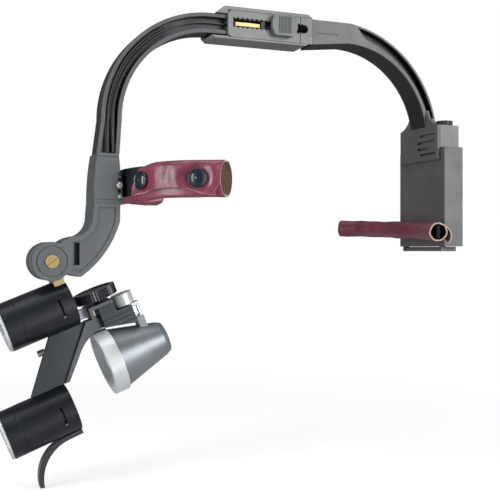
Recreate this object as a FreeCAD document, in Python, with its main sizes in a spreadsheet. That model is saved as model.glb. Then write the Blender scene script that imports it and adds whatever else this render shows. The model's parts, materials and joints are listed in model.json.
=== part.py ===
"""Head-worn binocular loupes with a lamp, as an assembly of separate pieces.

Millimetres. +Z is up, -X is the wearer's front and -Y the wearer's left. The origin is the
middle of the wearer's head, 7 mm above the hinge that the loupes tilt on.
The optics are modelled in a frame of their own, pitched down with the barrels:
its x runs forward along the barrels, its y to the wearer's left and its z up.
"""
import FreeCAD, Part
import math
import os
from FreeCAD import Placement, Rotation, Vector

doc = FreeCAD.newDocument("Loupes")
sheet = doc.addObject("Spreadsheet::Sheet", "Sizes")

SIZES = {
    # crown slide
    "crown_z": 150.8, "housing_front": -32, "housing_rear": 42.5, "housing_bottom": 139.5,
    "housing_top": 161, "housing_width": 20, "cover_front": -19.4, "cover_rear": 42.3,
    "cover_bottom": 141, "cover_top": 158.5, "cover_thick": 1.8, "tooth_pitch": 3.4,
    "parting_x": 33, "knob_x": 19.5, "knob_height": 14.4, "knob_width": 18.6, "knob_thick": 3.2,
    "knob_travel": 1.2,
    "lock_stem_r": 2, "lock_stem_length": 6.8, "keyhole_r": 2.8, "washer_r": 3.8,
    "washer_bore": 2.1, "washer_thick": 0.3, "slide_gap": 0.4,
    # front arch, forehead bracket and arm
    "front_centre_x": -30.5, "front_centre_z": 82.8, "front_outer_r": 73, "front_inner_r": 60,
    "front_arch_width": 15.4, "arch_recess": 4.6, "rack_length": 20, "rack_height": 2.6, "tongue_end": 8,
    "cable_r": 0.9, "bracket_top": 60.5, "bracket_bottom": 29.2, "bracket_width": 24,
    "hole_x": -92.9, "hole_top": 47.5, "hole_pitch": 3.5, "hole_r": 1.15, "hole_reach": 3.2,
    "pin_r": 1.1, "pin_length": 1.7, "pin_head_r": 1.9, "pin_head_thick": 0.6,
    "arm_width": 26, "panel_recess": 1.3, "panel_thick": 0.5,
    # tilt hinge
    "hinge_x": -135, "hinge_z": -7, "cheek_r": 12, "tongue_r": 11.4, "fork_r": 13.6,
    "fork_gap": 11.8, "tongue_width": 11.2, "screw_r": 2.5, "bore_gap": 0.05, "head_r": 4,
    "head_thick": 1.3, "cheek_bore_r": 2.6, "ring_groove_r": 9.6, "ring_groove_bore": 8.8,
    "ring_groove_cut": 1,
    # brow band
    "brow_centre_x": -20, "brow_r": 68.2, "brow_z": 42.45, "brow_height": 17.7,
    "brow_thick": 1.8, "brow_half_angle": 64, "sleeve_start": 18, "sleeve_end": 75,
    "sleeve_height": 20.7, "sleeve_thick": 6.4, "snap_r": 5.5, "snap_thick": 1.6,
    "slider_width": 12, "slider_height": 11,
    # rear arch, module and battery
    "rear_outer_x": 62.3, "rear_outer_z": 77.9, "rear_outer_r": 80.6, "rear_inner_x": 69.6,
    "rear_inner_z": 79.7, "rear_inner_r": 64.3, "rear_arch_width": 20, "rear_channel": 5,
    "module_front": 133.3, "module_rear": 151.2, "module_width": 49.2, "module_top": 89,
    "module_bottom": 64.5, "front_cover_thick": 2.4, "pack_front": 136, "pack_rear": 151.3,
    "pack_width": 58.7, "pack_top": 73, "pack_bottom": 2.6, "wall": 1.6, "cell_height": 60,
    "door_z": 0.7, "door_x": 138.6, "door_r": 1.6, "door_rear": 150.4, "door_width": 45,
    "door_pin_r": 0.8, "door_pin_span": 49.8, "door_leaf": 11.8, "dimmer_r": 6,
    "dimmer_height": 3.4, "dimmer_notch_r": 0.8, "jack_r": 2.1, "jack_reach": 3.2,
    # nape band
    "nape_centre_x": 20, "nape_r": 108.5, "nape_z": 14.4, "nape_half_angle": 38.6,
    "nape_tube_r": 7.2, "nape_tube_wall": 1.8, "nape_core_height": 8.4, "nape_core_thick": 2,
    "nape_roll": 2.2,
    # optics
    "pitch": 21.5, "barrel_r": 15.25, "barrel_bore": 13.2, "barrel_length": 43.5,
    "sleeve_length": 9.3, "upper_x": 124.6, "upper_z": 14.7, "lower_x": 147.6,
    "lower_z": -46.8, "bezel_r": 14.7, "bezel_bore": 12.6, "bezel_length": 1.7,
    "cell_length": 12, "cell_bore": 9, "focus_x": 8.8, "focus_pin_r": 0.8, "focus_slot": 1.8,
    "focus_low": 24, "focus_turn": 40, "lens_thick": 3.2, "lens_curve": 43.5, "pin_shaft_r": 0.75,
    "focus_pin_length": 4.4, "focus_pin_start": 11, "plate_thick": 5.2, "flange_thick": 9,
    "guide_rod_r": 1.2, "guide_rod_length": 14, "edge_screw_r": 2, "edge_screw_length": 4.4,
    "lever_width": 7,
    # spacing knob, carrier and lamp
    "spacing_x": 108.7, "spacing_z": 9.65, "spacing_r": 13.5, "spacing_thick": 6.3,
    "spindle_r": 2.5, "spindle_length": 15, "dish_r": 10.3, "dish_mouth_r": 11.7,
    "dish_depth": 0.9, "thumb_x": 93.8, "thumb_z": -0.6, "thumb_r": 6.75, "thumb_thick": 7.5,
    "thumb_shaft_r": 1.5, "thumb_shaft_length": 9.3, "carrier_front": 112, "carrier_rear": 91.3,
    "carrier_width": 18, "frame_width": 20, "lamp_z": -30.4, "lamp_rear": 76.6, "lamp_bevel": 2.9,
    "lamp_joint": 111, "lamp_front": 120, "rim_r": 20.8, "rim_bore": 16.8, "cone_front_r": 19.6,
    "cone_rear_r": 11.2, "lamp_wall": 1.5, "pivot_x": 88, "pivot_z": -12.9, "pivot_r": 1.05,
    "pivot_barrel_r": 2.4, "pivot_barrel_width": 6.1, "pivot_pin_r": 1, "pivot_pin_length": 10.4,
    "guide_post_r": 0.9, "guide_post_length": 10.2, "reflector_start": 16, "reflector_length": 19.1,
    "reflector_rear_r": 7.1, "reflector_front_r": 16.4, "reflector_wall": 1.6, "sink_start": 7.1,
    "sink_r": 9.3, "sink_length": 8, "chip_size": 3.2, "chip_thick": 1.8,
}
for row, (alias, number) in enumerate(SIZES.items(), start=1):
    sheet.set(f"A{row}", str(number))
    sheet.setAlias(f"A{row}", alias)
doc.recompute()


def size(alias):
    """The number in one cell of the sheet."""
    return float(getattr(sheet, alias))


PITCH = math.radians(size("pitch"))
FORWARD = Vector(-math.cos(PITCH), 0, -math.sin(PITCH))
UPWARD = Vector(-math.sin(PITCH), 0, math.cos(PITCH))
HEAD = Placement()
OPTICS = Placement(Vector(), Rotation(FORWARD, Vector(0, -1, 0), UPWARD, "XYZ"))
TURNS = {
    "Z": Rotation(),
    "X": Rotation(Vector(0, 1, 0), 90),
    "Y": Rotation(Vector(1, 0, 0), -90),
}
nodes = {}
cuts = []


# ---------------------------------------------------------------- building blocks
def at(x, y, z, axis="Z", frame=HEAD):
    """A placement whose local Z runs along the named axis of the given frame."""
    return frame.multiply(Placement(Vector(x, y, z), TURNS[axis]))


def bind(feature, **expressions):
    """Tie properties to the sheet; sums of aliases and numbers are written without 'Sizes.'"""
    for name, words in expressions.items():
        parts = [w if not w[0].isalpha() else "Sizes." + w for w in words.split()]
        feature.setExpression(name, " ".join(parts))
    return feature


def box(name, place, length, width, height):
    """A box centred on its local Y, from its local X and Z zero."""
    feature = doc.addObject("Part::Box", name)
    bind(feature, Length=length, Width=width, Height=height)
    doc.recompute([feature])
    centred = Placement(Vector(0, -feature.Width.Value / 2, 0), Rotation())
    feature.Placement = place.multiply(centred)
    return feature


def block(name, low, high, frame=HEAD):
    """A box between two corners that are already worked out from the sheet."""
    feature = doc.addObject("Part::Box", name)
    feature.Length, feature.Width, feature.Height = [b - a for a, b in zip(low, high)]
    feature.Placement = frame.multiply(Placement(Vector(*low), Rotation()))
    return feature


def rod(name, place, radius, length):
    feature = doc.addObject("Part::Cylinder", name)
    bind(feature, Radius=radius, Height=length)
    feature.Placement = place
    return feature


def cone(name, place, first, last, length):
    feature = doc.addObject("Part::Cone", name)
    bind(feature, Radius1=first, Radius2=last, Height=length)
    feature.Placement = place
    return feature


def cut(name, base, *tools):
    feature = doc.addObject("Part::Cut", name)
    feature.Base = base
    feature.Tool = tools[0] if len(tools) == 1 else fuse(name + "_tools", *tools)
    cuts.append(feature)
    return feature


def fuse(name, *pieces):
    feature = doc.addObject("Part::MultiFuse", name)
    feature.Shapes = list(pieces)
    feature.Refine = True
    return feature


def group(name, *pieces):
    """Separate solids that share one node, such as a pair of screws."""
    feature = doc.addObject("Part::Compound", name)
    feature.Links = list(pieces)
    return feature


def tube(name, place, radius, bore, length):
    outer = rod(name + "_outer", place, radius, length)
    return cut(name, outer, rod(name + "_bore", place, bore, length))


def origin_plane(body, role):
    return next(plane for plane in body.Origin.OriginFeatures if plane.Role == role)


def draw(body, name, role, outline):
    """A closed sketch. A point continues with a line, a (through, end) pair with an arc."""
    sketch = body.newObject("Sketcher::SketchObject", name)
    sketch.AttachmentSupport = [(origin_plane(body, role), "")]
    sketch.MapMode = "FlatFace"
    here = first = Vector(*outline[0], 0)
    for step in outline[1:] + [outline[0]]:
        if step is outline[0] and here.isEqual(first, 1e-6):
            break
        if isinstance(step[0], tuple):
            through, end = Vector(*step[0], 0), Vector(*step[1], 0)
            sketch.addGeometry(Part.Arc(here, through, end), False)
        else:
            end = Vector(*step, 0)
            sketch.addGeometry(Part.LineSegment(here, end), False)
        here = end
    return sketch


def padded(name, outline, width, frame=HEAD, role="XZ_Plane", shift=Vector()):
    """A side-view outline given its width, half to each side of the plane it is drawn on."""
    body = doc.addObject("PartDesign::Body", name)
    sketch = draw(body, name + "_sketch", role, outline)
    pad = body.newObject("PartDesign::Pad", name + "_pad")
    pad.Profile = sketch
    pad.Midplane = True
    bind(pad, Length=width)
    body.Placement = frame.multiply(Placement(shift, Rotation()))
    return body


def swept_band(name, centre_x, z, profile, start, end, roll=0):
    """A profile of (radius, height) points turned about an upright axis, from start to end
    degrees round from the wearer's front, positive towards the wearer's left."""
    body = doc.addObject("PartDesign::Body", name)
    sketch = draw(body, name + "_sketch", "XZ_Plane", profile)
    turn = body.newObject("PartDesign::Revolution", name + "_turn")
    turn.Profile = sketch
    turn.ReferenceAxis = (sketch, ["V_Axis"])
    turn.Angle = end - start
    spin = Rotation(Vector(0, 0, 1), 180 + start)
    tilt = Rotation(Vector(1, 0, 0), roll)
    body.Placement = Placement(Vector(centre_x, 0, z), tilt.multiply(spin))
    return body


def rectangle(low_x, low_z, high_x, high_z):
    return [(low_x, low_z), (high_x, low_z), (high_x, high_z), (low_x, high_z)]


def polar(centre_x, centre_z, radius, degrees):
    angle = math.radians(degrees)
    return (centre_x + radius * math.cos(angle), centre_z + radius * math.sin(angle))


def node(label, feature):
    """Name one sub-part: its label is the name of its file."""
    feature.Label = label
    nodes[label] = feature
    return feature


# ---------------------------------------------------------------- crown slide
def crown_slide():
    front, rear = size("housing_front"), size("housing_rear")
    bottom, top = size("housing_bottom"), size("housing_top")
    near = -size("housing_width") / 2
    cover = size("cover_thick")
    gap = size("slide_gap")
    arch_top = size("front_centre_z") + size("front_outer_r")
    arch_bottom = size("front_centre_z") + size("front_inner_r")
    cavity_half = size("front_arch_width") / 2 + 0.3
    shell = padded("housing_shell", [
        (front, bottom + 2.5), (front + 3, bottom), (rear - 5.5, bottom), (rear, bottom + 3),
        (rear, top - 2.5), (rear - 3.5, top), (front + 10, top), (front, top - 8),
    ], "housing_width")
    face = block("face_recess", (size("cover_front") - 0.3, near - 1, size("cover_bottom") - 0.2),
                 (rear + 1, near + cover + 0.1, size("cover_top") + 0.2))
    cavity = block("slide_cavity", (front - 1, -cavity_half, arch_bottom - gap),
                   (size("parting_x") - 1.5, cavity_half, arch_top + gap))
    mouth = block("slide_mouth", (front - 1, near - 1, arch_bottom - 1.6),
                  (size("cover_front") - 0.2, cavity_half, arch_top + gap))
    window = block("slot_window", (size("cover_front") + 2, near, size("crown_z") - 4.5),
                   (size("parting_x") + 6, 0, size("crown_z") + 4.5))
    node("slide_housing", cut("housing_cut", shell, face, cavity, mouth, window))

    middle = size("crown_z")
    pitch = size("tooth_pitch")
    count = 15
    left = size("cover_front") + 3.4
    upper = [(left + pitch * i / 2, middle + (2.5 if i % 2 else 3.6)) for i in range(2 * count + 1)]
    lower = [(x, 2 * middle - z) for x, z in reversed(upper)]
    corner = 3
    x0, x1 = size("cover_front"), size("cover_rear")
    z0, z1 = size("cover_bottom"), size("cover_top")
    plate = padded("cover_plate", [
        (x0 + corner, z0), (x1, z0), (x1, z1), (x0 + corner, z1),
        ((x0 + corner * 0.293, z1 - corner * 0.293), (x0, z1 - corner)), (x0, z0 + corner),
        ((x0 + corner * 0.293, z0 + corner * 0.293), (x0 + corner, z0)),
    ], "cover_thick", shift=Vector(0, near + cover / 2, 0))
    teeth = padded("toothed_slot", upper + lower, "housing_width", shift=Vector(0, near, 0))
    keyhole = rod("keyhole", at(upper[-1][0] + 1, near - 1, middle, "Y"), "keyhole_r", "knob_thick")
    parting = block("parting_groove", (size("parting_x") - 0.2, near - 1, z0 - 1),
                    (size("parting_x") + 0.2, near + 0.5, z1 + 1))
    node("slide_cover", cut("cover_cut", plate, teeth, keyhole, parting))


def lock_button():
    near = -size("housing_width") / 2
    half = size("knob_height") / 2
    x, z = size("knob_x"), size("crown_z") + 0.3
    under = near - size("knob_travel") - 0.4
    thick = size("knob_thick")
    side = size("knob_width") / 2
    bulge = side * 0.66
    cap = padded("knob_cap", [
        (x - bulge, z - half), (x + bulge, z - half), ((x + side, z), (x + bulge, z + half)),
        (x - bulge, z + half), ((x - side, z), (x - bulge, z - half)),
    ], "knob_thick", shift=Vector(0, under - thick / 2, 0))
    ribs = [block(f"rib_groove_{i}", (x - 0.25 + 1.05 * i, under - thick - 1, z - half + 1.6),
                  (x + 0.25 + 1.05 * i, under - thick + 0.45, z + half - 1.6))
            for i in range(-4, 5)]
    stem = rod("knob_stem", at(x, under, z - 0.3, "Y"), "lock_stem_r", "lock_stem_length")
    node("lock_knob", fuse("knob_whole", cut("knob_ribbed", cap, *ribs), stem))
    washer_place = at(x, near - size("washer_thick"), z - 0.3, "Y")
    node("lock_spring", tube("spring_washer", washer_place, "washer_r", "washer_bore", "washer_thick"))


# ---------------------------------------------------------------- front frame
def front_outline(outer, inner, foot_shift, end_x):
    """The front arch's side view between two radii, from the crown tongue to the bracket."""
    x, z = size("front_centre_x"), size("front_centre_z")
    foot = size("bracket_top") + foot_shift
    lean = 3
    return [
        (end_x, z + inner), (end_x, z + outer), (x, z + outer),
        (polar(x, z, outer, 135), (x - outer, z)), (x - outer - lean, foot),
        (x - inner - lean / 2, foot), (x - inner, z), (polar(x, z, inner, 135), (x, z + inner)),
    ]


def front_arch():
    outer, inner = size("front_outer_r"), size("front_inner_r")
    half = size("front_arch_width") / 2
    tip = size("tongue_end")
    depth = size("arch_recess")
    beam = padded("front_beam", front_outline(outer, inner, 0.05, tip), "front_arch_width")
    recess_shape = front_outline(outer - 2.4, inner + 2.6, -1, tip - 3)
    ridge_shape = front_outline(outer - 5.4, inner + 6.6, 22, tip - 2.5)
    recesses = [padded(f"front_recess_{side}", recess_shape, "arch_recess + arch_recess",
                       shift=Vector(0, side * half, 0)) for side in (-1, 1)]
    ridge = [padded(f"front_ridge_{side}", ridge_shape, "arch_recess",
                    shift=Vector(0, side * (half - depth), 0)) for side in (-1, 1)]
    node("front_arch", fuse("front_arch_whole", cut("front_beam_cut", beam, *recesses), *ridge))
    length = size("rack_length")
    rise = size("rack_height") / 2
    face = -half + depth / 2 - 0.05
    strip = block("rack_strip", (size("tongue_end") - 1 - length, face - 0.9, size("crown_z") - rise),
                  (size("tongue_end") - 3.2, face, size("crown_z") + rise))
    node("slide_rack", strip)


def lamp_cables():
    """Two leads lying side by side in the near channel, down to the top of the bracket."""
    half = size("front_arch_width") / 2
    y = -half + 1.3
    x, z = size("front_centre_x"), size("front_centre_z")
    foot = size("bracket_top") + 1
    leads = []
    for index, inset in enumerate((5.3, 8.8)):
        radius = size("front_inner_r") + inset
        corners = [polar(x, z, radius, degrees) for degrees in (118, 150, 180)]
        first, mid, last = [Vector(px, y, pz) for px, pz in corners]
        end = Vector(last.x, y, foot)
        bend = Part.Arc(first, mid, last).toShape()
        path = Part.Wire([bend, Part.LineSegment(last, end).toShape()])
        circle = Part.Circle(end, Vector(0, 0, 1), size("cable_r")).toShape()
        shape = path.makePipeShell([Part.Wire([circle])], True, True)
        expected = math.pi * size("cable_r") ** 2 * path.Length
        assert abs(shape.Volume / expected - 1) < 0.01
        print(f"lead {index}: bend radius {radius:.1f} mm, length {path.Length:.1f} mm")
        lead = doc.addObject("Part::Feature", f"lead_{index}")
        lead.Shape = shape
        leads.append(lead)
    node("lamp_cables", group("leads", *leads))


def forehead_bracket():
    top, bottom = size("bracket_top"), size("bracket_bottom")
    half = size("bracket_width") / 2
    body = padded("bracket_body", [
        (-106.7, top), (-93.4, top), (-90.6, bottom), (-109.2, bottom), ((-108.6, 46), (-106.7, top)),
    ], "bracket_width")
    guide_half = size("slider_width") / 2 + 0.2
    guide = block("band_guide", (-95.2, -guide_half, bottom + 2.2), (-85, guide_half, top - 2.2))
    grooves = []
    for line, z in enumerate((top - 2.6, bottom + 1.9)):
        for side in (-1, 1):
            y = side * half
            grooves.append(block(f"groove_{line}_{side}", (-112, y - 0.45, z), (-88, y + 0.45, z + 0.7)))
    heights = [size("hole_top") - i * size("hole_pitch") for i in range(5)]
    holes = [rod(f"height_hole_{i}", at(size("hole_x"), -half - 1, z, "Y"), "hole_r", "hole_reach")
             for i, z in enumerate(heights)]
    node("forehead_bracket", cut("bracket_cut", body, guide, *grooves, *holes))
    heads = []
    for index, radius in ((2, "pin_head_r"), (4, "pin_r")):
        face = -half - size("pin_head_thick")
        shank_place = at(size("hole_x"), -half, heights[index], "Y")
        head_place = at(size("hole_x"), face, heights[index], "Y")
        shank = rod(f"pin_shank_{index}", shank_place, "pin_r", "pin_length")
        head = rod(f"pin_head_{index}", head_place, radius, "pin_head_thick")
        heads.append(fuse(f"pin_{index}", shank, head))
    node("height_pins", group("pins", *heads))


def loupe_arm():
    x, z, r = size("hinge_x"), size("hinge_z"), size("cheek_r")
    top = size("bracket_bottom") - 0.05
    half = size("arm_width") / 2
    outline = [
        (-92.7, top), (-109.2, top), (-109.9, 20), ((-112.8, 12.6), (-119, 8.6)),
        ((-124.8, 7.2), polar(x, z, r, 65)), ((x - r, z), polar(x, z, r, -58)),
        (-125.4, -14.4), (-119.6, -16.5), (-117.3, -16.5), ((-101.2, 0), (-92.9, 18)),
    ]
    blank = padded("arm_blank", outline, "arm_width")
    fork = rod("fork_space", at(x, -size("fork_gap") / 2, z, "Y"), "fork_r", "fork_gap")
    bore = rod("cheek_bore", at(x, -half - 1, z, "Y"), "cheek_bore_r", "arm_width + cover_thick")
    panel = [
        (-95.6, 26.6), (-106.4, 26.6), (-107.1, 19.6), ((-110.2, 10.8), (-118, 5.9)), (-122.6, 4.8),
        (-122.6, -12.4), (-118.2, -13.6), ((-103.8, 1.4), (-95.8, 18.4)),
    ]
    recesses = []
    inlays = []
    for side in (-1, 1):
        face = side * half
        inlay_y = side * (half - size("panel_recess") + size("panel_thick") / 2)
        recesses.append(padded(f"panel_recess_{side}", panel, "panel_recess + panel_recess",
                               shift=Vector(0, face, 0)))
        ring_place = at(x, face - 0.5 - 0.1 * side, z, "Y")
        recesses.append(tube(f"cheek_ring_{side}", ring_place, "ring_groove_r", "ring_groove_bore",
                             "ring_groove_cut"))
        slots = [block(f"{piece}_slot_{side}", (-121.7, face - 5.5, -9.3), (-118, face + 5.5, 4.6))
                 for piece in ("arm", "inlay")]
        recesses.append(slots[0])
        inlay = padded(f"inlay_{side}", panel, "panel_thick", shift=Vector(0, inlay_y, 0))
        inlays.append(cut(f"inlay_cut_{side}", inlay, slots[1]))
    node("loupe_arm", cut("arm_cut", blank, fork, bore, *recesses))
    node("arm_panels", group("inlays", *inlays))
    shank = rod("screw_shank", at(x, -half, z, "Y"), "screw_r", "arm_width")
    head = rod("screw_head", at(x, -half - size("head_thick"), z, "Y"), "head_r", "head_thick")
    nut = rod("screw_nut", at(x, half, z, "Y"), "head_r", "head_thick")
    slot_turn = Placement(Vector(x, 0, z), Rotation(Vector(0, 1, 0), -38))
    slot_floor = -half - size("head_thick") + 0.6
    slot = block("driver_slot", (-6, -half - 3, -0.45), (6, slot_floor, 0.45), slot_turn)
    node("hinge_screw", cut("screw_cut", fuse("screw_whole", shank, head, nut), slot))


# ---------------------------------------------------------------- brow band
def brow_band():
    radius, thick, height = size("brow_r"), size("brow_thick"), size("brow_height")
    half_angle = size("brow_half_angle")
    centre, z = size("brow_centre_x"), size("brow_z")
    node("brow_plate", swept_band("brow_strip", centre, z, rectangle(
        radius - thick / 2, -height / 2, radius + thick / 2, height / 2), -half_angle, half_angle))
    tall, deep = size("sleeve_height") / 2, size("sleeve_thick") / 2
    sleeves = []
    snaps = []
    for side in (-1, 1):
        start, end = sorted((side * size("sleeve_start"), side * size("sleeve_end")))
        skin = rectangle(radius - deep, -tall, radius + deep, tall)
        room_half = thick / 2 + 0.5
        room = rectangle(radius - room_half, -height / 2 - 0.4, radius + room_half, height / 2 + 0.4)
        outer = swept_band(f"sleeve_outer_{side}", centre, z, skin, start, end)
        inner = swept_band(f"sleeve_inner_{side}", centre, z, room, start - 1, end + 1)
        sleeves.append(cut(f"sleeve_{side}", outer, inner))
        for order, angle in enumerate((26, 58)):
            turn = math.radians(side * angle)
            out = Vector(-math.cos(turn), -math.sin(turn), 0)
            seat = Vector(centre, 0, z) + out * (radius + deep + 0.05)
            place = Placement(seat, Rotation(Vector(0, 0, 1), out))
            snaps.append(rod(f"snap_{side}_{order}", place, "snap_r", "snap_thick"))
    node("brow_leather", group("sleeves", *sleeves))
    node("brow_snaps", group("snaps", *snaps))
    front = centre - radius - thick / 2
    half = size("slider_height") / 2
    across = size("slider_width") / 2
    node("brow_slider", block("slider", (-94.9, -across, z - half), (front - 0.1, across, z + half)))


# ---------------------------------------------------------------- rear frame
def rear_arch():
    ox, oz, outer = size("rear_outer_x"), size("rear_outer_z"), size("rear_outer_r")
    ix, iz, inner = size("rear_inner_x"), size("rear_inner_z"), size("rear_inner_r")
    start = size("housing_rear") + 0.05
    foot = size("module_top") + 0.05
    low = math.degrees(math.asin((foot + 4 - oz) / outer))
    inner_low = math.degrees(math.asin((foot + 6 - iz) / inner))
    beam = padded("rear_beam", [
        (start, size("cover_bottom")), (ix, iz + inner),
        (polar(ix, iz, inner, 50), polar(ix, iz, inner, inner_low)), (size("module_front"), foot),
        (polar(ox, oz, outer, low)[0] + 1, foot), polar(ox, oz, outer, low),
        (polar(ox, oz, outer, 48), polar(ox, oz, outer, 84)), (start, size("cover_top") - 0.4),
    ], "rear_arch_width")
    half = size("rear_arch_width") / 2
    top_r, bottom_r = outer - 1.3, outer - 7.3
    channels = [padded(f"rear_channel_{side}", [
        polar(ox, oz, top_r, 79), (polar(ox, oz, top_r, 46), polar(ox, oz, top_r, 13)),
        polar(ox, oz, bottom_r + 1.8, 13), (polar(ox, oz, bottom_r, 46), polar(ox, oz, bottom_r, 73)),
    ], "rear_channel + rear_channel", shift=Vector(0, side * half, 0)) for side in (-1, 1)]
    tick = block("index_groove", (start + 3, -half - 1, 148.6), (start + 19, -half + 0.5, 149.2))
    node("rear_arch", cut("rear_beam_cut", beam, *channels, tick))


def lamp_module():
    front, rear = size("module_front"), size("module_rear")
    half = size("module_width") / 2
    top, bottom = size("module_top"), size("module_bottom")
    arch = size("rear_arch_width") / 2 + 0.15
    cover = padded("module_face", [
        (-half, bottom), (half, bottom), (half, top), ((arch + 5.2, top + 4.2), (arch, top + 12)),
        (arch, top), (-arch, top), (-arch, top + 12), ((-arch - 5.2, top + 4.2), (-half, top)),
    ], "front_cover_thick", role="YZ_Plane", shift=Vector(front + size("front_cover_thick") / 2, 0, 0))
    slits = []
    for z, inset, length in ((81.8, 3.5, 18.9), (77, 3.5, 22.2), (72.4, 11.4, 14.3), (68.2, 2.8, 20)):
        low_y = -half + inset
        slits.append(block(f"vent_{len(slits)}", (front - 1, low_y, z), (front + 5, low_y + length, z + 1.8)))
    node("module_inner_cover", cut("module_face_cut", cover, *slits))
    wall = size("wall")
    back = front + size("front_cover_thick") + 0.1
    floor = size("pack_top") + 0.2
    shell = block("module_box", (back, -half, floor), (rear, half, top))
    hollow = block("module_hollow", (back + wall, -half + wall, floor - 1),
                   (rear - wall, half - wall, top - wall))
    node("module_shell", cut("module_box_cut", shell, hollow))
    board_low = (back + wall + 0.6, -half + 3, floor + 1)
    board_high = (back + wall + 2.2, half - 3, top - wall - 0.6)
    node("driver_board", block("board", board_low, board_high))
    dimmer_x = (back + rear) / 2
    dimmer_y = -half + size("dimmer_r") + 0.6
    rim_points = [polar(dimmer_x, dimmer_y, size("dimmer_r") + 0.3, 30 * i) for i in range(12)]
    notches = [rod(f"dimmer_notch_{i}", at(x, y, top), "dimmer_notch_r", "dimmer_height + wall")
               for i, (x, y) in enumerate(rim_points)]
    wheel = rod("dimmer_disc", at(dimmer_x, dimmer_y, top + 0.1), "dimmer_r", "dimmer_height")
    node("dimmer_wheel", cut("dimmer_cut", wheel, *notches))
    jack_x = rear - 4.4
    socket = block("socket_block", (jack_x - 3.6, -6, top + 0.05), (jack_x + 3.6, 5, top + 3))
    jack = rod("jack_hole", at(jack_x, -0.5, top + 1), "jack_r", "jack_reach")
    node("cable_socket", cut("socket_cut", socket, jack))


def battery():
    front, rear = size("pack_front"), size("pack_rear")
    half = size("pack_width") / 2
    top, bottom = size("pack_top"), size("pack_bottom")
    wall = size("wall")
    x, z, r = size("door_x"), size("door_z"), size("door_r")
    door_half = size("door_width") / 2
    outer = block("pack_box", (front, -half, bottom), (rear, half, top))
    hollow = block("pack_hollow", (front + wall, -half + wall, bottom - 1),
                   (rear - wall, half - wall, top - wall))
    lugs = []
    for side in (-1, 1):
        y0, y1 = sorted((side * (door_half + 0.3), side * (door_half + 2.7)))
        lugs.append(block(f"lug_{side}", (front, y0, z - r), (x + r, y1, bottom + 1)))
    shell = cut("pack_box_cut", outer, hollow)
    bore = rod("lug_bore", at(x, -half, z, "Y"), "door_pin_r + bore_gap", "pack_width")
    node("battery_shell", cut("pack_lugs_cut", fuse("pack_lugged", shell, *lugs), bore))
    cell_top = top - wall - 2.5
    side_gap = wall + 1.2
    node("battery_cell", block("cell", (front + wall + 0.5, -half + side_gap, cell_top - size("cell_height")),
                               (rear - wall - 0.5, half - side_gap, cell_top)))
    leaf = box("door_leaf", at(x, 0, z - r), "door_leaf", "door_width", "door_r + door_r")
    knuckle = rod("door_knuckle", at(x, -door_half, z, "Y"), "door_r", "door_width")
    pin = rod("door_pins", at(x, -size("door_pin_span") / 2, z, "Y"), "door_pin_r", "door_pin_span")
    grip = []
    for i in range(3):
        groove_x = size("door_rear") - 2 - 1.4 * i
        grip.append(block(f"grip_{i}", (groove_x, -6, z - r - 1), (groove_x + 0.6, 6, z - r + 0.5)))
    node("battery_door", cut("door_cut", fuse("door_whole", leaf, knuckle, pin), *grip))


def nape_band():
    radius, z = size("nape_r"), size("nape_z")
    centre = size("nape_centre_x")
    half_angle = size("nape_half_angle")
    tall, deep = size("nape_core_height") / 2, size("nape_core_thick") / 2
    roll = size("nape_roll")
    middle = centre + radius
    core = swept_band("nape_strip", centre, z, rectangle(radius - deep, -tall, radius + deep, tall),
                      180 - half_angle + 1, 180 + half_angle - 1, roll)
    stalk = block("nape_stalk", (middle, -5, z - 3), (size("pack_front") - 0.05, 5, z + 3))
    node("nape_core", fuse("nape_core_whole", core, stalk))
    outer, inner = size("nape_tube_r"), size("nape_tube_r") - size("nape_tube_wall")
    skins = []
    for name, tube_r, extra in (("nape_skin", outer, 0), ("nape_bore", inner, 1)):
        body = doc.addObject("PartDesign::Body", name)
        sketch = body.newObject("Sketcher::SketchObject", name + "_sketch")
        sketch.AttachmentSupport = [(origin_plane(body, "XZ_Plane"), "")]
        sketch.MapMode = "FlatFace"
        sketch.addGeometry(Part.Circle(Vector(radius, 0, 0), Vector(0, 0, 1), tube_r), False)
        turn = body.newObject("PartDesign::Revolution", name + "_turn")
        turn.Profile = sketch
        turn.ReferenceAxis = (sketch, ["V_Axis"])
        turn.Angle = 2 * (half_angle + extra)
        spin = Rotation(Vector(0, 0, 1), -half_angle - extra)
        body.Placement = Placement(Vector(centre, 0, z), Rotation(Vector(1, 0, 0), roll).multiply(spin))
        skins.append(body)
    window = block("stalk_window", (middle + 2, -5.6, z - 3.6), (middle + 12, 5.6, z + 3.6))
    node("nape_leather", cut("nape_leather_cut", skins[0], skins[1], window))


# ---------------------------------------------------------------- optics
def lens(name, place, radius):
    """A disc whose front face is domed by a large sphere."""
    disc = rod(name + "_disc", place, radius, "lens_thick")
    ball = doc.addObject("Part::Sphere", name + "_ball")
    bind(ball, Radius="lens_curve")
    doc.recompute([ball, disc])
    back = disc.Height.Value - ball.Radius.Value
    ball.Placement = place.multiply(Placement(Vector(0, 0, back), Rotation()))
    feature = doc.addObject("Part::Common", name)
    feature.Base, feature.Tool = disc, ball
    return feature


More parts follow.
